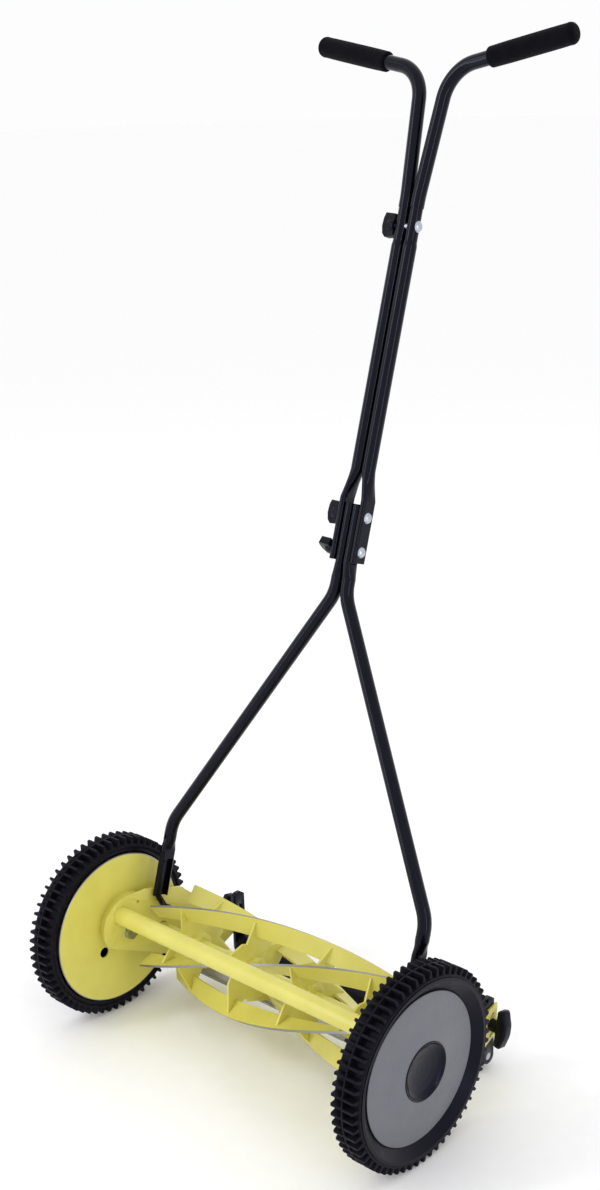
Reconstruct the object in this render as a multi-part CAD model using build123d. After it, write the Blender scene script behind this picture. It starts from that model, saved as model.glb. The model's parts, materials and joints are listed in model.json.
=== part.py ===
from build123d import *

import os
from math import acos, cos, pi, radians, sin, sqrt, tan

# A push reel mower: two wheels drive a five-bladed reel through a ring gear and a pinion each.
# Millimetres. X runs along the axle, to the right wheel. The front is towards -Y. +Z is up.
# Every part is drawn about the axle's middle. ON_FLOOR then sets the origin on the floor.

# ---- driving dimensions ----
WHEEL_R = 127.0           # ten-inch wheels, over the lugs
AXLE_Y = -139.77          # puts the origin under the middle of the whole mower
SIDES = {"right": 1, "left": -1}
SHEET = 3.0               # side plate thickness
RUN = 0.05                # radial clearance of a running fit
GAP = 0.3                 # clearance between parts that pass each other

# wheel, given for the right side along X
TREAD_IN, TREAD_OUT = 251.2, 289.0
TYRE_BASE_R = 117.8
RIM_R = 112.2
LUGS = 62
LUG_ROOT, LUG_TIP = 6.4, 3.0
WEB_IN, WEB_OUT = 275.0, 279.7
DISC_R = 95.9
HUB_R = 37.5
HUB_LIP_X = 290.3
AXLE_R = 8.0
BUSH_R = 12.0

# gear drive
MODULE = 2.0
RING_TEETH, PINION_TEETH = 76, 14
PRESSURE_ANGLE = 20.0
BACKLASH = 0.25
GEAR_IN, GEAR_OUT = 258.0, 271.0
REEL_OFFSET = (RING_TEETH - PINION_TEETH) * MODULE / 2
REEL_ANGLE = -16.8        # the reel's axis seen from the axle, in degrees above the rear
REEL_Y = REEL_OFFSET * cos(radians(REEL_ANGLE))
REEL_Z = REEL_OFFSET * sin(radians(REEL_ANGLE))

# reel
REEL_R = 71.5
REEL_HALF = 203.0         # sixteen-inch cut
BLADES = 5
BLADE_START = 53.2        # angle of the first blade at the left end
BLADE_TWIST = -119.7
BLADE_T, BLADE_W = 3.4, 25.5
SPIDERS = 4
SPIDER_PITCH = 105.0
SPIDER_T = 3.0
SHAFT_R, SHAFT_END_R = 8.0, 6.0
SHAFT_END = 273.4
HOUSING_R = 17.0

# chassis
PLATE_IN = 229.0
PLATE_OUT = PLATE_IN + SHEET
COVER_IN, COVER_T, COVER_R = 249.4, 2.0, 105.8
NOSE_Y, NOSE_Z, NOSE_R = -0.3, 11.1, 42.7
BOSS_Y, BOSS_Z, BOSS_R = 9.4, 5.9, 42.8
TIE_Y, TIE_Z, TIE_R = -13.0, 30.3, 12.5
KNIFE_Y, KNIFE_T, KNIFE_W = 86.0, 3.0, 28.0
KNIFE_Z = REEL_Z - sqrt((REEL_R + GAP) ** 2 - (KNIFE_Y - REEL_Y) ** 2) - KNIFE_T
BAR_T, BAR_W, BAR_H = 4.2, 36.0, 20.0
BAR_BOLTS = ((112.0, -80.0), (120.0, -64.0))

# rear roller on two arms that slide down the side plates
ARM_Y, ARM_W, ARM_T = 204.5, 21.0, 6.0
ARM_TOP = -19.0
ROLLER_R = 19.5
ROLLER_Z = ROLLER_R - WHEEL_R
ROLLER_HALF = 219.0
ROLLER_AXLE_R = 5.0
CLAMP_Z = -58.0
CLAMP_R = 4.0
ARM_TRAVEL_UP, ARM_TRAVEL_DOWN = 14.0, 14.0

# handle, drawn upright in its own plane and then leaned back
HANDLE_Y = 41.1
HANDLE_LEAN = 17.5
TUBE_R, TUBE_WALL = 8.75, 1.5
TUBE_X = 8.9              # half the distance between the two tubes side by side
FOOT_X = 221.8
FOOT_BEND, FORK_LOW = 144.0, 501.0
FOOT_TOP, FOOT_END = 104.0, 39.0
FOOT_W, FOOT_T = 25.0, 9.0
PIVOT_Y, PIVOT_Z = 62.0, 10.0
PIVOT_R = 4.0
LOW_TOP, LOW_FLAT = 615.0, 556.0
LOW_T, LOW_W = 12.4, 21.0
MID_END, MID_FLAT, MID_ROUND = 543.0, 621.0, 657.0
MID_T, MID_W = 8.4, 23.5
NECK_LOW, NECK_TOP, NECK_R = 932.0, 977.4, 7.9
SPIGOT_R = 6.7
UPPER_BEND = 990.0
CORNER_X, CORNER_S = 21.4, 1140.5
GRIP_IN_X, GRIP_OUT_X, GRIP_R = 78.0, 192.0, 12.5
GRIP_RISE = 11.6          # degrees that a grip rises towards its end
JOINT_BOLTS = {"upper": 955.2, "middle": 600.0, "lower": 557.0}
JOINT_BOLT_R = 4.0
HEAD_R, HEAD_H = 6.9, 4.0

ON_FLOOR = Pos(0, AXLE_Y, WHEEL_R)
LEAN = Pos(0, HANDLE_Y, 0) * Rot(X=-HANDLE_LEAN)
ALONG_X = Rot(Y=90)       # turns a shape drawn up Z so that it runs along +X

os.makedirs("parts", exist_ok=True)


def save(name, shape):
    """Write one named part, moved from the axle's frame to the floor frame."""
    placed = ON_FLOOR * shape
    placed.label = name
    export_step(placed, f"parts/{name}.step")


def side(shape, sign):
    """A part drawn for the right side, or its mirror image for the left."""
    return shape if sign > 0 else mirror(shape, about=Plane.YZ)


def save_pair(name, *shapes):
    """Write parts drawn for the right side with their mirror images, as one node."""
    save(name, Compound([side(shape, sign) for shape in shapes for sign in SIDES.values()]))


def rod(x0, x1, r, y=0.0, z=0.0):
    """A round bar along X from x0 to x1."""
    low, high = min(x0, x1), max(x0, x1)
    return Pos((low + high) / 2, y, z) * ALONG_X * Cylinder(r, high - low)


def ring(x0, x1, outer, inner, y=0.0, z=0.0):
    """A sleeve along X."""
    return rod(x0, x1, outer, y, z) - rod(x0 - 1, x1 + 1, inner, y, z)


def hexagon(x0, x1, across, y=0.0, z=0.0):
    """A nut or bolt head along X, across its flats."""
    flat = RegularPolygon(across / sqrt(3), 6)
    return Pos(min(x0, x1), y, z) * ALONG_X * extrude(flat, abs(x1 - x0))


def block(x0, x1, y0, y1, z0, z1):
    """A box from its corners."""
    return Pos((x0 + x1) / 2, (y0 + y1) / 2, (z0 + z1) / 2) * Box(abs(x1 - x0), abs(y1 - y0), abs(z1 - z0))


def turned(points):
    """A shape turned about the X axis from a profile of (x, radius) points."""
    profile = make_face(Polyline(*[(x, 0, r) for x, r in points], close=True))
    return revolve(profile, Axis.X, 360)


def dome(x, r, height, y=0.0, z=0.0):
    """A domed bolt head that stands on the plane at x, towards +X."""
    rise = (r * r + height * height) / (2 * height)
    middle = (x + height - rise + rise * cos(radians(25)), 0, rise * sin(radians(25)))
    arc = ThreePointArc((x, 0, r), middle, (x + height, 0, 0))
    profile = make_face([arc, Line((x + height, 0, 0), (x, 0, 0)), Line((x, 0, 0), (x, 0, r))])
    return Pos(0, y, z) * revolve(profile, Axis.X, 360)


def plate(face, x0, x1):
    """A sheet with its outline in Y and Z, given as a face of (y, z) points, from x0 to x1."""
    yz = Plane(origin=(x0, 0, 0), x_dir=(0, 1, 0), z_dir=(1, 0, 0))
    return extrude(yz * face, x1 - x0)


def involute_angle(base_r, r):
    """How far an involute has swung from its start on the base circle when it reaches radius r."""
    opening = acos(min(1.0, base_r / r))
    return tan(opening) - opening


def gear_face(teeth, root_r, tip_r, thickness, phase):
    """An involute gear's outline. thickness is the tooth's arc on the pitch circle."""
    pitch_r = MODULE * teeth / 2
    base_r = pitch_r * cos(radians(PRESSURE_ANGLE))
    opening = tan(radians(PRESSURE_ANGLE)) - radians(PRESSURE_ANGLE)
    half = thickness / (2 * pitch_r) + opening
    start_r = max(base_r, root_r)
    radii = [start_r + (tip_r - start_r) * i / 4 for i in range(5)]
    undercut = start_r > root_r + 0.01

    def polar(r, angle):
        return (r * cos(angle), r * sin(angle))

    edges = []
    for tooth in range(teeth):
        centre = radians(phase) + 2 * pi * tooth / teeth
        swing = [involute_angle(base_r, r) for r in radii]
        flank = [polar(r, centre - half + a) for r, a in zip(radii, swing)]
        back = [polar(r, centre + half - a) for r, a in zip(radii, swing)][::-1]
        foot_swing = half if undercut else half - swing[0]
        heel = polar(root_r, centre + foot_swing)
        next_foot = polar(root_r, centre + 2 * pi / teeth - foot_swing)
        if undercut:
            edges.append(Line(polar(root_r, centre - half), flank[0]))
            edges.append(Line(back[-1], heel))
        else:
            heel = back[-1]
        edges.append(Spline(*flank))
        edges.append(ThreePointArc(flank[-1], polar(tip_r, centre), back[0]))
        edges.append(Spline(*back))
        edges.append(ThreePointArc(heel, polar(root_r, centre + pi / teeth), next_foot))
    return make_face(Wire(edges))


# ---- wheels ----
def tyre():
    """The tread: a band with narrow cross lugs, and a rib round its middle."""
    shoulder = 1.2
    band = turned([(TREAD_IN, RIM_R), (TREAD_IN, TYRE_BASE_R - shoulder),
                   (TREAD_IN + shoulder, TYRE_BASE_R), (TREAD_OUT - shoulder, TYRE_BASE_R),
                   (TREAD_OUT, TYRE_BASE_R - shoulder), (TREAD_OUT, RIM_R)])
    middle = (TREAD_IN + TREAD_OUT) / 2
    rib = ring(middle - 1.2, middle + 1.2, WHEEL_R - 0.5, RIM_R)
    pitch = 360 / LUGS
    points = []
    for lug in range(LUGS):
        centre = radians(-90 + lug * pitch)
        for reach, offset in ((TYRE_BASE_R - 1, -LUG_ROOT / 2), (WHEEL_R, -LUG_TIP / 2),
                              (WHEEL_R, LUG_TIP / 2), (TYRE_BASE_R - 1, LUG_ROOT / 2)):
            points.append((reach * cos(centre) - offset * sin(centre),
                           reach * sin(centre) + offset * cos(centre)))
    outline = make_face(Polyline(*points, close=True)) - Circle(RIM_R)
    return band + rib + plate(outline, TREAD_IN + 1.5, TREAD_OUT - 1.5)


def wheel():
    """Rim, dished web and hub in one moulding, with the internal ring gear on the inner side."""
    body = turned([(260, BUSH_R), (260, 19), (WEB_IN, 22), (WEB_IN, 104), (WEB_IN - 4, 108), (253, 108),
                   (253, RIM_R), (TREAD_OUT + 0.2, RIM_R), (TREAD_OUT + 0.2, RIM_R + 2),
                   (TREAD_OUT + 0.9, RIM_R + 2), (TREAD_OUT + 0.9, RIM_R - 1.7), (WEB_OUT, DISC_R + 0.7),
                   (WEB_OUT, 17), (271, 17), (271, BUSH_R)])
    pitch_arc = pi * MODULE / 2
    root_r = MODULE * RING_TEETH / 2 + 2.6
    tip_r = MODULE * RING_TEETH / 2 - 1.3
    space = gear_face(RING_TEETH, tip_r, root_r, pitch_arc + BACKLASH, REEL_ANGLE)
    gear = plate(Circle(root_r + 5.5) - space, GEAR_IN, WEB_IN)
    ribs = [Rot(X=30 * i) * block(262, WEB_IN, -1.3, 1.3, root_r + 5, 108.5) for i in range(12)]
    return body + gear + ribs


def wheel_disc():
    """The trim disc, domed towards the hub."""
    hub_edge = (HUB_LIP_X - 0.9, 0, HUB_R - 0.6)
    outer = ThreePointArc((WEB_OUT + 1.5, 0, DISC_R), (WEB_OUT + 4.2, 0, 66), hub_edge)
    inner = ThreePointArc((HUB_LIP_X - 2.4, 0, HUB_R - 0.6), (WEB_OUT + 2.7, 0, 66),
                          (WEB_OUT, 0, DISC_R))
    profile = make_face([outer, Line(outer @ 1, inner @ 0), inner, Line(inner @ 1, outer @ 0)])
    return revolve(profile, Axis.X, 360)


def hub_cap():
    """The concave cup in the wheel's middle."""
    return turned([(WEB_OUT, 0), (WEB_OUT, 24), (HUB_LIP_X - 2.6, HUB_R - 2.8),
                   (HUB_LIP_X - 2.4, HUB_R - 0.7), (HUB_LIP_X - 0.8, HUB_R - 0.7),
                   (HUB_LIP_X - 0.8, HUB_R), (HUB_LIP_X, HUB_R), (HUB_LIP_X, HUB_R - 2),
                   (WEB_OUT + 3.6, 24.5), (WEB_OUT + 1.8, 13), (WEB_OUT + 1.8, 0)])


def axle():
    """The stub axle: a hexagon-headed bolt from inside the side plate, with washer and nut."""
    head = hexagon(PLATE_IN - 7, PLATE_IN, 17)
    spacer = ring(PLATE_OUT, COVER_IN + COVER_T + 8, 11, AXLE_R)
    nut = hexagon(272.4, 278.6, 17) - rod(272, 279, AXLE_R)
    return head + rod(PLATE_IN - 1, 279.0, AXLE_R), spacer, ring(271.3, 272.4, 14, AXLE_R), nut


def pinion():
    """The pinion: teeth outside, and a bore with three ratchet notches for the pawl."""
    pitch_r = MODULE * PINION_TEETH / 2
    face = gear_face(PINION_TEETH, pitch_r - 2.4, pitch_r + 1.8, pi * MODULE / 2 - BACKLASH, REEL_ANGLE)
    blank = plate(face, GEAR_IN, GEAR_OUT)
    blank = blank - rod(GEAR_IN - 1, GEAR_OUT + 1, SHAFT_END_R + RUN)
    blank = blank - rod(264, GEAR_OUT + 1, 8.1)
    for i in range(3):
        blank = blank - Rot(X=120 * i) * block(264, GEAR_OUT + 1, -2.2, 2.2, 0, 9.9)
    return Pos(0, REEL_Y, REEL_Z) * blank


def pawl(reach):
    """The sliding key through the shaft's end. reach is how far its tip stands above the axis."""
    length = 15.4
    return Pos(0, REEL_Y, REEL_Z) * block(264.4, 270.4, -1.9, 1.9, reach - length, reach)


def wheels():
    for name, sign in SIDES.items():
        save(f"{name}_tyre", side(tyre(), sign))
        save(f"{name}_wheel", side(wheel(), sign))
        save(f"{name}_wheel_disc", side(wheel_disc(), sign))
        save(f"{name}_hub_cap", side(hub_cap(), sign))
        save(f"{name}_wheel_bushing", side(ring(260, 271, BUSH_R, AXLE_R + RUN), sign))
        save(f"{name}_pinion", side(pinion(), sign))
    bolt, *hardware = axle()
    save_pair("axle_bolts", bolt)
    save_pair("axle_hardware", *hardware)
    engaged, retracted = 9.7, 7.7
    save("pawls", Compound([pawl(engaged), side(pawl(retracted), -1)]))


# ---- reel ----
def blade(number):
    """One helical blade: a strip that stands on the radius, turned evenly along the reel."""
    steps = 12
    sections = []
    for i in range(steps + 1):
        along = i / steps
        x = REEL_HALF * (2 * along - 1)
        angle = BLADE_START + number * 360 / BLADES + BLADE_TWIST * along
        strip = Pos(REEL_R - BLADE_W / 2, 0) * Rectangle(BLADE_W, BLADE_T)
        outward = (0, cos(radians(angle)), sin(radians(angle)))
        spot = Plane(origin=(x, REEL_Y, REEL_Z), x_dir=outward, z_dir=(1, 0, 0))
        sections.append(spot * strip)
    return loft(sections)


def spider(x):
    """One pressed star, with a pointed arm for each blade at that place along the reel."""
    along = (x + REEL_HALF) / (2 * REEL_HALF)
    hub_r, root_r, tip_r = 17.0, 46.0, REEL_R - 5
    points = []
    for i in range(BLADES):
        centre = BLADE_START + i * 360 / BLADES + BLADE_TWIST * along
        for r, turn in ((root_r, -42), (tip_r, -2.5), (tip_r, 2.0), (root_r - 5, 21)):
            a = radians(centre + turn)
            points.append((r * cos(a), r * sin(a)))
    star = make_face(Polyline(*points, close=True))
    sheet = plate(Pos(REEL_Y, REEL_Z) * star, x - SPIDER_T / 2, x + SPIDER_T / 2)
    collar = ring(x - 9, x + 9, hub_r, SHAFT_R, REEL_Y, REEL_Z)
    return sheet + collar - rod(x - 20, x + 20, SHAFT_R, REEL_Y, REEL_Z)


def reel():
    blades = [blade(i) for i in range(BLADES)]
    for i, one in enumerate(blades):
        save(f"reel_blade_{i + 1}", one)
    for i in range(SPIDERS):
        star = spider((i - (SPIDERS - 1) / 2) * SPIDER_PITCH)
        for one in blades:
            star = star - one
        save(f"reel_spider_{i + 1}", star)
    shaft = rod(-COVER_IN - COVER_T - 4, COVER_IN + COVER_T + 4, SHAFT_R, REEL_Y, REEL_Z)
    shaft = shaft + rod(-SHAFT_END, SHAFT_END, SHAFT_END_R, REEL_Y, REEL_Z)
    slot = Pos(0, REEL_Y, REEL_Z) * block(264.3, 270.5, -2, 2, -8, 8)
    clip = ring(271.7, 272.9, 9, SHAFT_END_R, REEL_Y, REEL_Z)
    save("reel_shaft", shaft - slot - side(slot, -1))
    save_pair("reel_shaft_clips", clip)


# ---- chassis ----
def plate_outline():
    """The side plate's outline: a round nose about the axle, and a tail for the roller's arm."""
    low_y, low_z, fall = -40.6, -8.5, tan(radians(-27.1))
    far_z = low_z + (118 - low_y) * fall
    below = Polyline((-60, low_z + (-60 - low_y) * fall), (118, far_z), (118, -140), (-60, -140), close=True)
    nose = Pos(NOSE_Y, NOSE_Z) * Circle(NOSE_R) - make_face(below)
    tail = Polyline((0, low_z - low_y * fall), (118, far_z), (142, -100.5), (160, -100), (216, -75.5),
                    (217.8, -31.9), (190, -38.9), (150, -16), (98, 30), (34, 52),
                    (NOSE_Y + 6, NOSE_Z + NOSE_R - 0.5), (0, 0), close=True)
    return nose + make_face(tail)


def side_plate():
    shape = plate(plate_outline(), PLATE_IN, PLATE_OUT)
    holes = [(0, 0, AXLE_R), (REEL_Y, REEL_Z, SHAFT_R + 1), (TIE_Y, TIE_Z, 5.0), (PIVOT_Y, PIVOT_Z, PIVOT_R),
             (ARM_Y, CLAMP_Z, CLAMP_R), (82, -70, 2.2), (18.6, 38.4, 2.2)]
    holes += [(y, z, 3.0) for y, z in BAR_BOLTS]
    for y, z, r in holes:
        shape = shape - rod(PLATE_IN - 1, PLATE_OUT + 1, r, y, z)
    for z, tilt in ((-46, 35), (-72, 35)):
        slot = Pos(ARM_Y + 1.5, z) * Rot(Z=tilt) * SlotOverall(11, 3.4)
        shape = shape - plate(slot, PLATE_IN - 1, PLATE_OUT + 1)
    return shape


def gear_cover():
    """The disc that closes the wheel's inner side, with the drawn boss that meets the side plate."""
    disc = turned([(COVER_IN, 0), (COVER_IN, COVER_R - 1.5), (COVER_IN + 0.8, COVER_R),
                   (COVER_IN + 7, COVER_R), (COVER_IN + 7, COVER_R - 1.6),
                   (COVER_IN + COVER_T, COVER_R - 1.6), (COVER_IN + COVER_T, 0)])
    depth = COVER_IN - PLATE_OUT

    def cone(base_r, top_r, x0, x1):
        low = Pos(x0, NOSE_Y, NOSE_Z) * ALONG_X * Circle(top_r)
        high = Pos(x1, BOSS_Y, BOSS_Z) * ALONG_X * Circle(base_r)
        return loft([low, high], ruled=True)

    boss = cone(BOSS_R, NOSE_R - 4.5, PLATE_OUT, COVER_IN + 0.5)
    boss = boss - rod(PLATE_OUT - 1, COVER_IN, HOUSING_R + GAP, REEL_Y, REEL_Z)
    hollow = cone(BOSS_R - 2, NOSE_R - 6.5, PLATE_OUT + 2, COVER_IN + COVER_T)
    hollow = hollow + rod(COVER_IN + COVER_T - 0.2, COVER_IN + 12, BOSS_R - 2, BOSS_Y, BOSS_Z)
    shape = disc + boss - hollow
    shape = shape - rod(PLATE_OUT - 1, COVER_IN + 12, 11, 0, 0)
    shape = shape - rod(COVER_IN - 1, COVER_IN + 12, SHAFT_R + 1, REEL_Y, REEL_Z)
    shape = shape - rod(PLATE_OUT - 1, PLATE_OUT + depth, 5.0, TIE_Y, TIE_Z)
    return shape - rod(COVER_IN - 1, COVER_IN + 12, 7.5, -30, -27)


def chassis():
    for name, sign in SIDES.items():
        save(f"{name}_side_plate", side(side_plate(), sign))
        save(f"{name}_gear_cover", side(gear_cover(), sign))
    save_pair("bearing_housings", ring(PLATE_OUT, COVER_IN, HOUSING_R, 13, REEL_Y, REEL_Z))
    save_pair("reel_bushings", ring(PLATE_OUT, COVER_IN, 13, SHAFT_R + RUN, REEL_Y, REEL_Z))
    tube = rod(-PLATE_IN, PLATE_IN, TIE_R, TIE_Y, TIE_Z) - rod(-207, 207, TIE_R - 2, TIE_Y, TIE_Z)
    tie_head = hexagon(PLATE_OUT + 2, PLATE_OUT + 8, 15, TIE_Y, TIE_Z)
    tie_bolt = rod(206, PLATE_OUT + 4, 5, TIE_Y, TIE_Z) + tie_head
    save("tie_tube", tube - rod(-230, 230, 5, TIE_Y, TIE_Z))
    save_pair("tie_tube_bolts", tie_bolt)

    knife = block(-REEL_HALF - 6, REEL_HALF + 6, KNIFE_Y, KNIFE_Y + KNIFE_W, KNIFE_Z, KNIFE_Z + KNIFE_T)
    bar_y = KNIFE_Y + 8
    bar = block(-PLATE_IN, PLATE_IN, bar_y, bar_y + BAR_W, KNIFE_Z - BAR_T, KNIFE_Z)
    bar = bar + block(-PLATE_IN, PLATE_IN, bar_y + BAR_W - BAR_T, bar_y + BAR_W, KNIFE_Z - 1, KNIFE_Z + BAR_H)
    lug = block(PLATE_IN - 4, PLATE_IN, KNIFE_Y + 18, bar_y + BAR_W - 1, KNIFE_Z - 1, KNIFE_Z + BAR_H + 8)
    bar = bar + lug + side(lug, -1)
    screws = []
    for i in range(5):
        x = (i - 2) * 92
        hole = Pos(x, KNIFE_Y + 17, KNIFE_Z) * Cylinder(2.5, 30)
        shank = Pos(x, KNIFE_Y + 17, KNIFE_Z - BAR_T / 2 + 1) * Cylinder(2.5, BAR_T + KNIFE_T - 1)
        head = Pos(x, KNIFE_Y + 17, KNIFE_Z - BAR_T) * Rot(Y=90) * dome(0, 5, 3.2)
        knife, bar = knife - hole, bar - hole
        screws.append(shank + head)
    bolts = []
    for y, z in BAR_BOLTS:
        drill = rod(-PLATE_OUT - 1, PLATE_OUT + 1, 3, y, z)
        bar = bar - drill
        bolt = rod(PLATE_IN - 9, PLATE_OUT + 6, 3, y, z) + hexagon(PLATE_OUT, PLATE_OUT + 4.5, 10, y, z)
        nut = hexagon(PLATE_IN - 9, PLATE_IN - 4, 10, y, z)
        bolts.append(bolt + nut)
    save("bed_knife", knife)
    save("cutter_bar", bar)
    save("bed_knife_screws", Compound(screws))
    save_pair("cutter_bar_bolts", *bolts)


# ---- rear roller ----
def roller_parts():
    arm_in, arm_out = PLATE_IN - 0.2 - ARM_T, PLATE_IN - 0.2
    top, half = ARM_TOP, ARM_W / 2
    outline = make_face(Polyline((ARM_Y - half, ROLLER_Z), (ARM_Y - half, top - 4), (ARM_Y - half + 4, top),
                                 (ARM_Y + half - 8, top), (ARM_Y + half, top - 6), (ARM_Y + half, ROLLER_Z),
                                 close=True))
    outline = outline + Pos(ARM_Y, ROLLER_Z) * Circle(half)
    slot_h = ARM_TRAVEL_UP + ARM_TRAVEL_DOWN + 2 * CLAMP_R + 2
    slot_z = CLAMP_Z + (ARM_TRAVEL_DOWN - ARM_TRAVEL_UP) / 2
    slot = Pos(ARM_Y, slot_z) * Rot(Z=90) * SlotOverall(slot_h, 2 * CLAMP_R + 0.6)
    arm = plate(outline - slot, arm_in, arm_out)
    arm = arm - rod(arm_in - 1, arm_out + 1, ROLLER_AXLE_R, ARM_Y, ROLLER_Z)
    body = rod(-ROLLER_HALF, ROLLER_HALF, ROLLER_R, ARM_Y, ROLLER_Z)
    body = body - ring(-ROLLER_HALF + 12, ROLLER_HALF - 12, ROLLER_R - 4, ROLLER_AXLE_R + 4, ARM_Y, ROLLER_Z)
    body = body - rod(-230, 230, ROLLER_AXLE_R + RUN, ARM_Y, ROLLER_Z)
    body = chamfer(body.edges().filter_by(GeomType.CIRCLE).group_by(SortBy.RADIUS)[-1], 1.5)
    for name, sign in SIDES.items():
        save(f"{name}_roller_arm", side(arm, sign))
    save("rear_roller", body)
    save("roller_axle", rod(-arm_out + 0.5, arm_out - 0.5, ROLLER_AXLE_R, ARM_Y, ROLLER_Z))

    bolt = rod(arm_in - 4.5, 250, CLAMP_R, ARM_Y, CLAMP_Z)
    head = rod(arm_in - 4.5, arm_in - 0.3, 9, ARM_Y, CLAMP_Z)
    knob_x = PLATE_OUT + GAP
    hub = rod(knob_x, 244, 8.4, 0, 0)
    bowed = Polyline((243, -24), (253, -26), (259, -7), (259, 7), (253, 26), (243, 24), close=True)
    grip = chamfer(extrude(Plane.XZ * make_face(bowed), 8, both=True).edges(), 2.2)
    knob = hub + Rot(X=-12) * grip - rod(200, 251, CLAMP_R + RUN, 0, 0)
    save_pair("clamp_bolts", bolt + head)
    for name, sign in SIDES.items():
        save(f"{name}_height_knob", side(Pos(0, ARM_Y, CLAMP_Z) * knob, sign))


# ---- handle ----
def leaned(behind, s):
    """The y and z of a point s up the handle, and behind its plane by the first value."""
    lean = radians(HANDLE_LEAN)
    return (HANDLE_Y + behind * cos(lean) + s * sin(lean), s * cos(lean) - behind * sin(lean))


def upright(face, x, s):
    """A flat shape across the tube, at x and at s up the handle."""
    return Pos(x, 0, s) * face


def piped(points, radii, outer, inner):
    """A tube along straight runs joined by arcs, in the handle's plane."""
    path = FilletPolyline(*[(x, 0, s) for x, s in points], radius=radii)
    section = Plane(origin=path @ 0, z_dir=path % 0)
    solid = sweep(section * Circle(outer), path=path)
    return solid if inner is None else solid - sweep(section * Circle(inner), path=path)


def oval(width, depth):
    """The outline of a tube pressed flat: width along X, depth front to back."""
    return RectangleRounded(width, depth, min(width, depth) / 2 - 0.2)


def lower_tube():
    """Pressed flat at the top for the joint, bent out to the side plate, open channel at the foot."""
    bore = TUBE_R - TUBE_WALL
    start, flat = LOW_FLAT - 34, LOW_FLAT - 14
    run = piped([(TUBE_X, start), (TUBE_X, FORK_LOW), (FOOT_X, FOOT_BEND), (FOOT_X, FOOT_TOP + 16)],
                [52, 52], TUBE_R, bore)
    top_x = LOW_T / 2 + 0.2
    change = loft([upright(Circle(TUBE_R), TUBE_X, start), upright(oval(LOW_T, LOW_W), top_x, flat)])
    flat_part = extrude(upright(oval(LOW_T, LOW_W), top_x, flat), LOW_TOP - flat)
    shape = run + change + flat_part
    foot_change = loft([upright(Circle(TUBE_R), FOOT_X, FOOT_TOP + 16),
                        upright(oval(FOOT_T, FOOT_W), FOOT_X, FOOT_TOP)])
    foot = extrude(upright(oval(FOOT_T, FOOT_W), FOOT_X, FOOT_END), FOOT_TOP - FOOT_END)
    channel = block(FOOT_X - FOOT_T, FOOT_X + 1.5, -FOOT_W / 2 + 3, FOOT_W / 2 - 3,
                    FOOT_END - 1, FOOT_TOP - 12)
    shape = shape + foot_change + (foot - channel)
    for s in (JOINT_BOLTS["middle"], JOINT_BOLTS["lower"]):
        shape = shape - rod(-5, 30, JOINT_BOLT_R, 0, s)
    return shape


def middle_tube():
    """Pressed flat below to straddle the lower tubes, and necked above to take the upper tube."""
    bore = TUBE_R - TUBE_WALL
    flat_x = LOW_T + 0.4 + MID_T / 2 + 0.1
    flat_part = extrude(upright(oval(MID_T, MID_W), flat_x, MID_END), MID_FLAT - MID_END)
    change = loft([upright(oval(MID_T, MID_W), flat_x, MID_FLAT), upright(Circle(TUBE_R), TUBE_X, MID_ROUND)])
    run = Pos(TUBE_X, 0, (MID_ROUND + NECK_LOW) / 2) * Cylinder(TUBE_R, NECK_LOW - MID_ROUND)
    taper = loft([upright(Circle(TUBE_R), TUBE_X, NECK_LOW), upright(Circle(NECK_R), TUBE_X, NECK_LOW + 5)])
    neck = Pos(TUBE_X, 0, (NECK_LOW + 5 + NECK_TOP) / 2) * Cylinder(NECK_R, NECK_TOP - NECK_LOW - 5)
    hollow_low = Pos(TUBE_X, 0, (MID_ROUND + NECK_LOW) / 2) * Cylinder(bore, NECK_LOW - MID_ROUND)
    hollow_top = Pos(TUBE_X, 0, (NECK_LOW + NECK_TOP) / 2) * Cylinder(SPIGOT_R, NECK_TOP - NECK_LOW + 1)
    shape = flat_part + change + run + taper + neck - hollow_low - hollow_top
    for s in JOINT_BOLTS.values():
        shape = shape - rod(-5, 40, JOINT_BOLT_R, 0, s)
    return shape


def grip_point(x):
    """The height up the handle of the grip's line at x."""
    return CORNER_S + (x - CORNER_X) * tan(radians(GRIP_RISE))


def upper_tube():
    """A spigot into the middle tube, a shoulder, and the bend out to the grip."""
    bore = SPIGOT_R - TUBE_WALL
    end_x = GRIP_OUT_X - 14
    run = piped([(TUBE_X, NECK_TOP), (TUBE_X, UPPER_BEND), (CORNER_X, CORNER_S), (end_x, grip_point(end_x))],
                [150, 46], TUBE_R, TUBE_R - TUBE_WALL)
    spigot = Pos(TUBE_X, 0, (NECK_LOW + 6 + NECK_TOP) / 2) * Cylinder(SPIGOT_R, NECK_TOP - NECK_LOW - 6)
    shoulder = Pos(TUBE_X, 0, NECK_TOP + 1.5) * Cylinder(TUBE_R - 0.4, 3)
    shape = run + spigot + shoulder
    shape = shape - Pos(TUBE_X, 0, NECK_TOP - 20) * Cylinder(bore, 50)
    return shape - rod(-5, 40, JOINT_BOLT_R, 0, JOINT_BOLTS["upper"])


def grip():
    """A foam sleeve on the tube's end, closed and rounded at the outside."""
    rise = radians(GRIP_RISE)
    length = (GRIP_OUT_X - GRIP_IN_X) / cos(rise)
    sleeve = Cylinder(GRIP_R, length, align=(Align.CENTER, Align.CENTER, Align.MIN))
    outer_edge = sleeve.edges().filter_by(GeomType.CIRCLE).sort_by(Axis.Z)[-1]
    sleeve = fillet(outer_edge, 8)
    sleeve = chamfer(sleeve.edges().filter_by(GeomType.CIRCLE).sort_by(Axis.Z)[0], 1.6)
    depth = length - 14 / cos(rise)
    sleeve = sleeve - Cylinder(TUBE_R, depth, align=(Align.CENTER, Align.CENTER, Align.MIN))
    return Pos(GRIP_IN_X, 0, grip_point(GRIP_IN_X)) * Rot(Y=90 - GRIP_RISE) * sleeve


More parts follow.
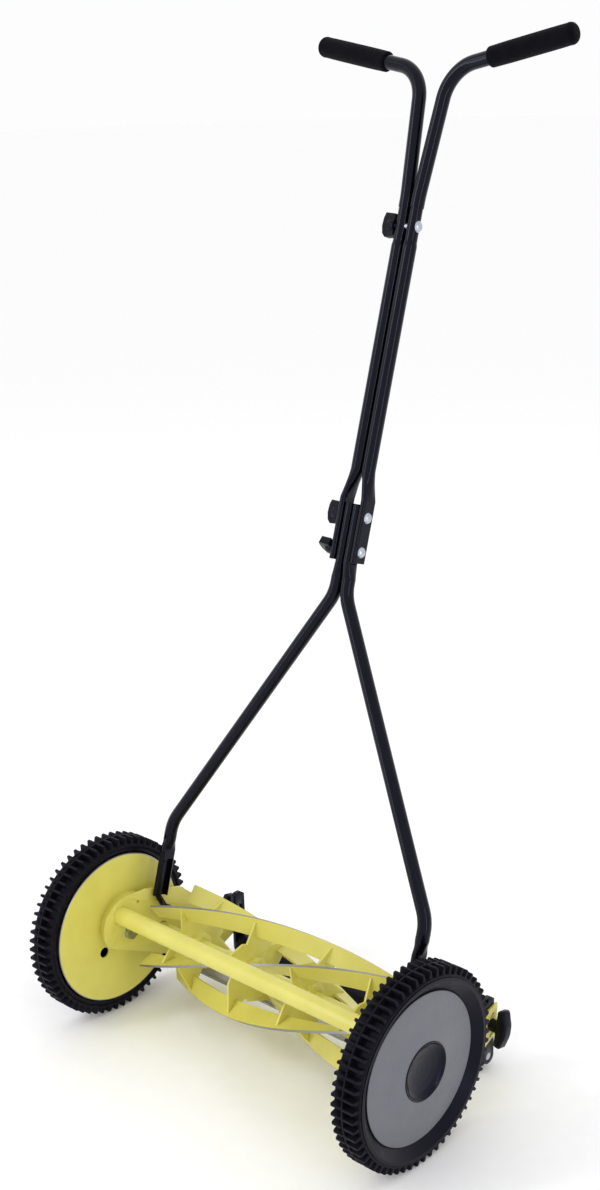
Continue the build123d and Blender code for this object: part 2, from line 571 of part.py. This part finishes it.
def foot_strap():
    """The curved strap in the foot's channel that carries the hinge eye."""
    line = FilletPolyline(leaned(-5, FOOT_TOP - 16), leaned(-5, FOOT_END), (PIVOT_Y - 6, PIVOT_Z + 14),
                          (PIVOT_Y, PIVOT_Z), radius=[14, 10])
    strap = trace(line, 8)
    eye = Pos(PIVOT_Y, PIVOT_Z) * Circle(9)
    shape = plate(strap + eye, FOOT_X - 2.4, FOOT_X + 1.4)
    return shape - rod(200, 240, PIVOT_R + RUN, PIVOT_Y, PIVOT_Z)


def joint_knob(x):
    """A wing knob on the joint bolt's end: a hub and one thick half-round wing."""
    hub = rod(-x, -x - 10, 9)
    outline = Polyline((-x - 1.2, -11), (-x - 7, -14), (-x - 13, -14.5), (-x - 17.5, -10), (-x - 19.5, -1),
                       (-x - 18.5, 9), (-x - 16, 15), (-x - 1.2, 14), close=True)
    wing = extrude(Plane.XZ * make_face(outline), 4.8, both=True)
    return hub + wing - rod(-x + 1, -x - 14, JOINT_BOLT_R + RUN)


def carriage_bolt(head_x, end_x, s):
    """A domed zinc head on the right, and the shank through both tubes to the knob."""
    return dome(head_x, HEAD_R, HEAD_H, 0, s) + rod(head_x + 1, end_x, JOINT_BOLT_R, 0, s)


def handle():
    for name, sign in SIDES.items():
        save(f"{name}_lower_tube", LEAN * side(lower_tube(), sign))
        save(f"{name}_middle_tube", LEAN * side(middle_tube(), sign))
        save(f"{name}_upper_tube", LEAN * side(upper_tube(), sign))
        save(f"{name}_grip", LEAN * side(grip(), sign))
    save_pair("foot_straps", foot_strap())
    shank = rod(FOOT_X - 6, PLATE_OUT + 8, PIVOT_R, PIVOT_Y, PIVOT_Z)
    head = rod(FOOT_X - 9, FOOT_X - 2.4 - GAP, 8, PIVOT_Y, PIVOT_Z)
    spacer = ring(FOOT_X + 1.4 + GAP, PLATE_IN, 7.5, PIVOT_R, PIVOT_Y, PIVOT_Z)
    nut = hexagon(PLATE_OUT, PLATE_OUT + 6, 13, PIVOT_Y, PIVOT_Z) - rod(200, 250, PIVOT_R, PIVOT_Y, PIVOT_Z)
    save_pair("handle_pivot_bolts", shank + head)
    save_pair("handle_pivot_hardware", spacer, nut)
    low_half = LOW_T + 0.5 + MID_T
    neck_half = TUBE_X + NECK_R
    joints = (("upper", neck_half, 0), ("middle", low_half, 0), ("lower", low_half, 62))
    bolts = []
    for name, half, turn in joints:
        s = JOINT_BOLTS[name]
        bolts.append(LEAN * carriage_bolt(half, -half - 10, s))
        save(f"{name}_joint_knob", LEAN * Pos(0, 0, s) * Rot(X=turn) * joint_knob(half + GAP))
    save("joint_bolts", Compound(bolts))


wheels()
reel()
chassis()
roller_parts()
handle()
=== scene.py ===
import json

import bmesh
import bpy
import numpy as np
from mathutils import Matrix, Vector

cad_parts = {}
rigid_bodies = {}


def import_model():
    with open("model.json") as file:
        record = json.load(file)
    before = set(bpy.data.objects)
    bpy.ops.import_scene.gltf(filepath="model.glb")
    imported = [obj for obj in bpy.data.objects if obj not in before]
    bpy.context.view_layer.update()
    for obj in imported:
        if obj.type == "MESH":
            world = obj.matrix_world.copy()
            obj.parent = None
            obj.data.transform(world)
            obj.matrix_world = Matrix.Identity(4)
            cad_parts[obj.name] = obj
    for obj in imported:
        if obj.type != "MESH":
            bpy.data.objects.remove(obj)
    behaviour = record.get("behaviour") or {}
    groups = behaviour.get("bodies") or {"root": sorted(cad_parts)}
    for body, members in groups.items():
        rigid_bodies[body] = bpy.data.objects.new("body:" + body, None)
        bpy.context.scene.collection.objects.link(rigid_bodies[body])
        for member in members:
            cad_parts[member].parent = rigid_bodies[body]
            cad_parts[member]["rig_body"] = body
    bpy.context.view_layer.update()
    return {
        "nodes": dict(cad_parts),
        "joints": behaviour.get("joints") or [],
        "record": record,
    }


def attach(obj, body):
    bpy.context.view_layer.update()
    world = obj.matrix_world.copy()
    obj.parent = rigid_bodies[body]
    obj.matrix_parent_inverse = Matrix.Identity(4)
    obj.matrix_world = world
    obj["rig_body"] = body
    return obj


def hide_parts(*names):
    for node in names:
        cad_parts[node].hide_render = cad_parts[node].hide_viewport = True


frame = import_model()

MM = 0.001
JOINTS = {j["name"]: j for j in frame["joints"]}
AXLE = np.array([0.0, *JOINTS["right_wheel_spin"]["pos_m"][1:]]) / MM
REEL = np.array([0.0, *JOINTS["reel_spin"]["pos_m"][1:]]) / MM
HANDLE_LEAN = np.radians(17.5)
HANDLE_PLANE = AXLE + np.array([0.0, 41.1, 0.0])


# ---------------------------------------------------------------- surfaces

def rounded(points, cut, steps):
    """A closed run of points with each corner cut back by a length and bridged with a parabola."""
    points = np.asarray(points, float)
    before, after = np.roll(points, 1, axis=0), np.roll(points, -1, axis=0)
    u = np.linspace(0, 1, steps)[:, None]

    def along(start, end):
        gap = end - start
        length = np.maximum(np.linalg.norm(gap, axis=1, keepdims=True), 1e-9)
        return start + gap / length * np.minimum(cut, 0.48 * length)

    entry, leave = along(points, before), along(points, after)
    bridge = ((1 - u) ** 2 * entry[:, None] + 2 * u * (1 - u) * points[:, None]
              + u ** 2 * leave[:, None])
    return bridge.reshape(-1, points.shape[1])


def surface(name, grid, skin, body, node, closed=True, crease=38):
    """A mesh on a grid of points in millimetres, which stands for one part. The grid's columns meet
    round the back; its rows do too when closed. Edges sharper than crease degrees stay sharp."""
    rows, cols = grid.shape[:2]
    index = np.arange(rows * cols).reshape(rows, cols)
    index = np.vstack([index, index[:1]]) if closed else index
    index = np.hstack([index, index[:, :1]])
    quads = np.stack([index[:-1, :-1], index[1:, :-1], index[1:, 1:], index[:-1, 1:]], -1)
    mesh = bpy.data.meshes.new(name)
    mesh.from_pydata((grid.reshape(-1, 3) * MM).tolist(), [], quads.reshape(-1, 4).tolist())
    work = bmesh.new()
    work.from_mesh(mesh)
    bmesh.ops.remove_doubles(work, verts=work.verts, dist=2e-6)
    bmesh.ops.recalc_face_normals(work, faces=work.faces)
    work.to_mesh(mesh)
    work.free()
    mesh.shade_smooth()
    mesh.set_sharp_from_angle(angle=np.radians(crease))
    mesh.materials.append(skin)
    piece = bpy.data.objects.new(name, mesh)
    bpy.context.scene.collection.objects.link(piece)
    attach(piece, body)
    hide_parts(node)
    return piece


def turned(profile, steps=192):
    """A profile of (x, radius) turned about the axle: x, r cos t, r sin t over a full turn."""
    t = np.linspace(0, 2 * np.pi, steps, endpoint=False)[:, None]
    x, r = np.asarray(profile).T
    return np.stack([x + 0 * t, r * np.cos(t), r * np.sin(t)], -1) + AXLE


def leaned(x, behind, s):
    """Points of the handle's own plane leaned back: x across, s up along it, behind square to it."""
    y = behind * np.cos(HANDLE_LEAN) + s * np.sin(HANDLE_LEAN)
    z = s * np.cos(HANDLE_LEAN) - behind * np.sin(HANDLE_LEAN)
    return np.stack([x, y, z], -1) + HANDLE_PLANE


def handed(grid, side):
    """The right side's points, or their mirror image for the left."""
    return grid if side == "right" else grid * [-1, 1, 1]


# ---------------------------------------------------------------- finishes

def linear(hex_code):
    """An sRGB hex colour as the linear red, green, blue and alpha that shaders take."""
    srgb = np.array([int(hex_code[i:i + 2], 16) for i in (1, 3, 5)]) / 255
    return (*np.where(srgb <= 0.04045, srgb / 12.92, ((srgb + 0.055) / 1.055) ** 2.4).tolist(), 1.0)


def add(tree, kind, inputs=None, **settings):
    """Add a shader node: its own settings, and for each input a value or another node's output."""
    made = tree.nodes.new("ShaderNode" + kind)
    for key, value in settings.items():
        setattr(made, key, value)
    for key, value in (inputs or {}).items():
        if isinstance(value, bpy.types.NodeSocket):
            tree.links.new(value, made.inputs[key])
        else:
            made.inputs[key].default_value = value
    return made


def finish(name, **shader):
    """A material with an empty tree but for its shader and output; returns it, its tree and its shader."""
    material = bpy.data.materials.new(name)
    material.use_nodes = True
    tree = material.node_tree
    tree.nodes.clear()
    bsdf = add(tree, "BsdfPrincipled", shader)
    add(tree, "OutputMaterial", {"Surface": bsdf.outputs["BSDF"]})
    return material, tree, bsdf


def noise(tree, size_mm, detail=3.0, rough=0.5, stretch=None):
    """Noise whose grains are about size_mm across in the piece's own coordinates."""
    place = add(tree, "TexCoord").outputs["Object"]
    if stretch:
        place = add(tree, "Mapping", {"Vector": place, "Scale": stretch}).outputs["Vector"]
    return add(tree, "TexNoise", {"Vector": place, "Scale": 1000 / size_mm, "Detail": detail,
                                  "Roughness": rough}).outputs["Fac"]


def between(tree, value, low, high, out_low=0.0, out_high=1.0):
    """A value mapped from one range to another and held at its ends."""
    return add(tree, "MapRange", {"Value": value, "From Min": low, "From Max": high, "To Min": out_low,
                                  "To Max": out_high}).outputs["Result"]


def tinted(tree, factor, first, second):
    """A colour from first to second as the factor goes from nought to one."""
    mix = add(tree, "Mix", {"Factor": factor}, data_type="RGBA")
    for socket, colour in ((6, first), (7, second)):
        if isinstance(colour, str):
            mix.inputs[socket].default_value = linear(colour)
        else:
            tree.links.new(colour, mix.inputs[socket])
    return mix.outputs[2]


def relief(tree, bsdf, height, depth_mm, strength=1.0):
    """A height from nought to one, pressed into the surface to a depth in millimetres."""
    bump = add(tree, "Bump", {"Height": height, "Distance": depth_mm * MM, "Strength": strength})
    tree.links.new(bump.outputs["Normal"], bsdf.inputs["Normal"])


def radius_from(tree, centre):
    """Distance from a line along X through a centre, in metres."""
    place = add(tree, "Mapping", {"Vector": add(tree, "TexCoord").outputs["Object"],
                                  "Location": (0.0, *(-centre[1:] * MM)), "Scale": (0.0, 1.0, 1.0)})
    return add(tree, "VectorMath", {0: place.outputs["Vector"]}, operation="LENGTH").outputs["Value"]


def enamel(name, bare=None):
    """Stoved yellow enamel on pressed steel: even gloss, faint orange peel, slightly uneven depth of
    colour. Where bare gives a measure and its limits the paint is ground off to clean steel."""
    material, tree, bsdf = finish(name, **{"Coat Weight": 0.25, "Coat Roughness": 0.18, "IOR": 1.5})
    cloud = between(tree, noise(tree, 38, 2), 0.35, 0.65)
    colour = tinted(tree, cloud, "#D7CF63", "#D1C95C")
    rough = between(tree, noise(tree, 6, 3), 0.3, 0.7, 0.34, 0.42)
    metal = None
    if bare:
        measure, start, end = bare(tree)
        metal = between(tree, measure, start, end)
        colour = tinted(tree, metal, colour, "#8F8F8C")
    tree.links.new(colour, bsdf.inputs["Base Color"])
    tree.links.new(rough, bsdf.inputs["Roughness"])
    if metal:
        tree.links.new(metal, bsdf.inputs["Metallic"])
    relief(tree, bsdf, noise(tree, 1.6, 2), 0.035)
    return material


def plastic(name, colour, pale, rough, grain_mm, depth_mm, cloud_mm=25.0, **shader):
    """A moulded plastic or rubber: one colour with a faint paler cloud, and the mould's fine grain."""
    material, tree, bsdf = finish(name, **shader)
    cloud = between(tree, noise(tree, cloud_mm, 3), 0.35, 0.7)
    tree.links.new(tinted(tree, cloud, colour, pale), bsdf.inputs["Base Color"])
    tree.links.new(between(tree, noise(tree, grain_mm * 6, 2), 0.3, 0.7, rough - 0.05, rough + 0.05),
                   bsdf.inputs["Roughness"])
    relief(tree, bsdf, noise(tree, grain_mm, 2), depth_mm)
    return material


def metal(name, colour, dull, rough, grain_mm, depth_mm, stretch=None):
    """A bare or plated metal: two close tones, and marks left by how the surface was made."""
    material, tree, bsdf = finish(name, **{"Metallic": 1.0})
    marks = noise(tree, grain_mm, 4, 0.6, stretch)
    tree.links.new(tinted(tree, between(tree, marks, 0.35, 0.65), colour, dull), bsdf.inputs["Base Color"])
    tree.links.new(between(tree, marks, 0.3, 0.7, rough - 0.06, rough + 0.08), bsdf.inputs["Roughness"])
    relief(tree, bsdf, marks, depth_mm)
    return material


# a dark finish reflects a little blue; rubber and foam slightly redder
SATIN_TINT, RUBBER_TINT = linear("#B9B9DC"), linear("#C0BEE0")

# yellow enamel: even soft gloss; the blades' outer edges and the covers' rims are ground bare
yellow = enamel("yellow_stoved_enamel")
blade_yellow = enamel("yellow_enamel_ground_edge",
                      lambda tree: (radius_from(tree, REEL), 0.07110, 0.07125))
cover_yellow = enamel("yellow_enamel_bare_rim",
                      lambda tree: (radius_from(tree, AXLE), 0.1044, 0.1047))
# powder coat: black with a soft gloss, a slight blue cast and a fine pebbled skin of 0.7 mm grain
coat = plastic("black_powder_coat", "#050508", "#08080C", 0.17, 0.7, 0.008,
               **{"Specular IOR Level": 0.3, "Specular Tint": SATIN_TINT})
# natural rubber tread: dull black, dusty blue-grey cloud, fine mould grain
tread = plastic("moulded_tread_rubber", "#0C0B11", "#131219", 0.55, 0.9, 0.06, 14.0,
                **{"Specular IOR Level": 0.16, "Specular Tint": RUBBER_TINT})
# black ABS: moulded satin, blue-black, with soft broad highlights
black_abs = plastic("black_abs_moulding", "#0A090F", "#0E0D14", 0.32, 0.8, 0.02,
                    **{"Specular IOR Level": 0.2, "Specular Tint": SATIN_TINT})
cup_abs = plastic("gloss_abs_hub_cup", "#0D0C15", "#11101A", 0.2, 1.6, 0.004,
                  **{"Specular IOR Level": 0.26, "Specular Tint": SATIN_TINT})
# grey ABS: matt trim disc with the mould's fine spark-eroded grain
grey_abs = plastic("grey_abs_trim", "#64646C", "#686870", 0.5, 0.8, 0.03, 30.0)
# glass-filled nylon knobs: black, slightly grained
nylon = plastic("black_nylon_knob", "#07070B", "#0B0B10", 0.38, 0.8, 0.04,
                **{"Specular IOR Level": 0.22, "Specular Tint": SATIN_TINT})
# polypropylene roller: waxy black with faint scuffs
roller_pp = plastic("black_polypropylene_roller", "#0B0B0F", "#121217", 0.42, 1.2, 0.05, 9.0,
                    **{"Specular IOR Level": 0.24, "Specular Tint": SATIN_TINT})
# closed-cell foam: dead black, open pores about 1.3 mm across
foam = plastic("closed_cell_foam", "#060609", "#0A0A0E", 0.85, 1.3, 0.35, 18.0,
               **{"Sheen Weight": 0.03, "Specular IOR Level": 0.1, "Specular Tint": RUBBER_TINT})
# bright zinc plate: cool silver with a faint spangle
zinc = metal("bright_zinc_plate", "#C4C8D2", "#AEB3BF", 0.3, 3.0, 0.02)
# ground blade steel: straight grinding marks along the edge
ground = metal("ground_blade_steel", "#A5A5A2", "#8C8C8A", 0.36, 4.0, 0.02, (0.05, 1.0, 1.0))
# sintered gear steel: oiled dark grey with a powdery grain
sintered = metal("sintered_gear_steel", "#77736E", "#5C5955", 0.48, 0.9, 0.03)
# sintered bronze bushings: brown-gold, dull
bronze = metal("sintered_bronze", "#A87B4E", "#8C6540", 0.46, 0.9, 0.03)

SLOT_FINISH = {"yellow_paint": yellow, "black_powder_coat": coat, "tread_rubber": tread,
               "black_moulding": black_abs, "grey_moulding": grey_abs, "foam_grip": foam,
               "knob_plastic": nylon, "roller_plastic": roller_pp, "zinc_plate": zinc,
               "blade_steel": ground, "gear_steel": sintered, "bronze": bronze}
NODE_FINISH = {"left_gear_cover": cover_yellow, "right_gear_cover": cover_yellow,
               "left_hub_cap": cup_abs, "right_hub_cap": cup_abs}
NODE_FINISH.update({f"reel_blade_{i}": blade_yellow for i in range(1, 6)})
SLOTS = {part["node"]: part["material_slot"] for part in frame["record"]["subparts"]}
for node, slot in SLOTS.items():
    chosen = NODE_FINISH.get(node, SLOT_FINISH[slot])
    for holder in frame["nodes"][node].material_slots:
        holder.material = chosen


# ---------------------------------------------------------------- wheels

TREAD_MIDDLE = 270.1
LUGS, TIP_R, FLOOR_R = 62, 127.0, 117.6
LOWEST = -np.pi / 2


def tread_grid():
    """Radius over the angle round the wheel and the place across the tread. Round it, narrow lugs with
    sloped flanks, one of them at the bottom. Across it, the lugs slope down to the floor short of both
    edges and leave a smooth shoulder, and a thin rib runs round the middle."""
    pitch = 2 * np.pi * TIP_R / LUGS
    flank = np.array([-3.2, -2.9, -1.75, -1.35, 0.0, 1.35, 1.75, 2.9, 3.2])
    rise = np.array([0.0, 0.07, 0.95, 1.0, 1.0, 1.0, 0.95, 0.07, 0.0])
    arc = (np.arange(LUGS)[:, None] * pitch + flank).reshape(-1)
    lug = np.tile(rise, LUGS)[:, None]
    half = np.array([  # place from the middle, floor, lug top, rib
        (0.0, FLOOR_R, 126.2, 126.6), (0.9, FLOOR_R, 126.2, 126.5), (1.25, FLOOR_R, 126.2, 0),
        (2.2, FLOOR_R, 126.9, 0), (3.2, FLOOR_R, TIP_R, 0), (15.8, FLOOR_R, TIP_R, 0),
        (16.5, FLOOR_R, 126.4, 0), (16.9, FLOOR_R, 124.8, 0), (17.3, FLOOR_R, 119.4, 0),
        (17.7, FLOOR_R, 117.9, 0), (18.4, 117.5, 117.5, 0), (18.9, 116.8, 116.8, 0),
        (18.9, 114.4, 114.4, 0), (17.0, 112.4, 112.4, 0)])
    place, floor, top, rib = np.vstack([half[:0:-1] * [-1, 1, 1, 1], half]).T
    r = np.maximum(floor + (top - floor) * lug, rib)
    turn = LOWEST + arc[:, None] / TIP_R
    return np.stack([TREAD_MIDDLE + place + 0 * r, r * np.cos(turn), r * np.sin(turn)], -1) + AXLE


# closed (x, radius) profiles of the right wheel's trim disc and of its hollow hub cup
DISC = rounded([(281.2, 95.9), (281.9, 95.4), (283.3, 80.0), (284.2, 62.0), (286.6, 48.0), (289.4, 36.9),
                (287.9, 36.9), (282.4, 62.0), (279.8, 95.4)], 3.0, 5)
CUP = rounded([(290.3, 37.4), (290.3, 35.5), (287.2, 33.2), (284.6, 28.0), (282.6, 19.0), (281.6, 9.0),
               (281.4, 0.0), (279.9, 0.0), (279.9, 30.0), (288.0, 36.8)], 1.4, 5)

for side in ("right", "left"):
    wheel = side + "_wheel_assembly"
    surface(side + "_tread", handed(tread_grid(), side), tread, wheel, side + "_tyre",
            crease=24)
    surface(side + "_trim_disc", handed(turned(DISC), side), grey_abs, wheel, side + "_wheel_disc")
    surface(side + "_hub_cup", handed(turned(CUP), side), cup_abs, wheel, side + "_hub_cap")


# ---------------------------------------------------------------- pressed, cut and moulded parts

def eased(node, width):
    """A copy of a part, its flat faces joined and its sharp edges rolled over by a width in mm."""
    source = frame["nodes"][node]
    mesh = source.data.copy()
    work = bmesh.new()
    work.from_mesh(mesh)
    bmesh.ops.remove_doubles(work, verts=work.verts, dist=1e-5)
    bmesh.ops.dissolve_limit(work, angle_limit=np.radians(0.5), verts=work.verts, edges=work.edges)
    bmesh.ops.recalc_face_normals(work, faces=work.faces)
    work.to_mesh(mesh)
    work.free()
    mesh.shade_smooth()
    piece = bpy.data.objects.new(node + "_eased", mesh)
    bpy.context.scene.collection.objects.link(piece)
    edge = piece.modifiers.new("rolled_edge", "BEVEL")
    edge.width, edge.segments, edge.limit_method = width * MM, 2, "ANGLE"
    edge.angle_limit, edge.harden_normals, edge.use_clamp_overlap = np.radians(35), True, True
    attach(piece, source["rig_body"])
    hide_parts(node)


# the width of the rolled edge in mm, and the parts that have it
EDGES = {0.45: ["left_side_plate", "right_side_plate", "foot_straps", "reel_spider_1", "reel_spider_2",
                "reel_spider_3", "reel_spider_4"],
         0.8: ["left_roller_arm", "right_roller_arm", "cutter_bar"],
         1.2: ["upper_joint_knob", "middle_joint_knob", "lower_joint_knob", "left_height_knob",
               "right_height_knob"]}
for width, group in EDGES.items():
    for node in group:
        eased(node, width)


# ---------------------------------------------------------------- grips

GRIP_RISE = np.radians(11.6)
GRIP_IN, GRIP_OUT, GRIP_FOOT = 78.0, 192.0, 1140.5
TUBE_BEND = 21.4
GRIP_R, END_R, NOSE, LIP = 12.5, 5.0, 7.5, 2.4


def grip_grid():
    """A foam sleeve along the tube's end: the radius is least at both ends and fullest along the
    middle, turns in over a lip at the inner end and closes in a round nose at the outer end."""
    start = np.array([GRIP_IN, GRIP_FOOT + (GRIP_IN - TUBE_BEND) * np.tan(GRIP_RISE)])
    length = (GRIP_OUT - GRIP_IN) / np.cos(GRIP_RISE)
    lip = np.linspace(0, np.pi / 2, 8)
    nose = np.linspace(0, np.pi / 2, 12)
    plain = np.linspace(LIP, length - NOSE, 40)[1:-1]
    along = np.concatenate([[0.0, 0.0], LIP * (1 - np.cos(lip)), plain,
                            length - NOSE + NOSE * np.sin(nose)])
    radius = np.concatenate([[8.8, 9.6], GRIP_R - LIP + LIP * np.sin(lip), np.full(len(plain), GRIP_R),
                             END_R + NOSE * np.cos(nose)])
    radius[-1] = 0.0
    waist = 0.35 * (along < length - 8) * np.cos(np.pi * along / length) ** 8
    radius = np.minimum(radius, GRIP_R) - waist
    path = start + np.stack([along * np.cos(GRIP_RISE), along * np.sin(GRIP_RISE)], -1)
    t = np.linspace(0, 2 * np.pi, 72, endpoint=False)
    across = radius[:, None] * np.cos(t)
    x = path[:, :1] + across * np.sin(GRIP_RISE)
    s = path[:, 1:] - across * np.cos(GRIP_RISE)
    return leaned(x, radius[:, None] * np.sin(t), s)


for side in ("right", "left"):
    sleeve = surface(side + "_foam_grip", handed(grip_grid(), side), foam, "handle", side + "_grip",
                     closed=False)


# ---------------------------------------------------------------- stage

REACH = 60.0
floor_mesh = bpy.data.meshes.new("floor")
floor_mesh.from_pydata([(-REACH, -REACH, 0), (REACH, -REACH, 0), (REACH, REACH, 0), (-REACH, REACH, 0)],
                       [], [(0, 1, 2, 3)])
floor = bpy.data.objects.new("floor", floor_mesh)
bpy.context.scene.collection.objects.link(floor)
floor_mesh.materials.append(plastic("pale_floor", "#FDFDFD", "#FFFFFF", 0.9, 8.0, 0.01,
                                    **{"Specular IOR Level": 0.1}))

world = bpy.data.worlds.new("studio")
bpy.context.scene.world = world
world.use_nodes = True
sky = world.node_tree.nodes["Background"].inputs
sky["Color"].default_value = linear("#FDFDFE")
sky["Strength"].default_value = 1.0

AIM = Vector((0.0, 0.0, 0.45))


def softbox(name, place, width, height, power):
    """A rectangular area light that looks at the mower's middle."""
    light = bpy.data.lights.new(name, "AREA")
    light.shape, light.size, light.size_y, light.energy = "RECTANGLE", width, height, power
    lamp = bpy.data.objects.new(name, light)
    bpy.context.scene.collection.objects.link(lamp)
    facing = (AIM - Vector(place)).to_track_quat("-Z", "Y").to_matrix().to_4x4()
    lamp.matrix_world = Matrix.Translation(place) @ facing


# a weak key and back light over the pale room, and two tall strips that draw the tubes' highlights
softbox("key", (-1.8, -2.4, 2.6), 1.0, 1.0, 8)
softbox("back", (-1.6, 2.4, 2.6), 2.0, 2.0, 5)
softbox("left_strip", (-1.2, -2.15, 1.5), 0.2, 2.3, 13)
softbox("right_strip", (2.5, -0.8, 1.1), 0.18, 1.8, 10)

# the camera is turned 43 degrees and looks 19 degrees down, from a place measured from the axle's
# height in a frame tilted 2.5 degrees about the axle
turn, dip = np.radians(42.95), np.radians(18.89)
ahead = np.array([-np.sin(turn) * np.cos(dip), np.cos(turn) * np.cos(dip), -np.sin(dip)])
right = np.array([np.cos(turn), np.sin(turn), 0.0])
up = np.cross(right, ahead)
pose = np.eye(4)
pose[:3, :3] = np.stack([right, up, -ahead], 1)
pose[:3, 3] = 1.2855, -1.2847, 1.0104
tilt = Matrix.Rotation(np.radians(-2.5), 4, "X")
camera = bpy.data.objects.new("camera", bpy.data.cameras.new("camera"))
bpy.context.scene.collection.objects.link(camera)
camera.matrix_world = Matrix.Translation((0.0, *(AXLE[1:] * MM))) @ tilt @ Matrix(pose.tolist())
camera.data.lens, camera.data.sensor_width, camera.data.shift_y = 48.46, 36.0, 0.088
bpy.context.scene.camera = camera
bpy.context.scene.view_settings.view_transform = "Standard"
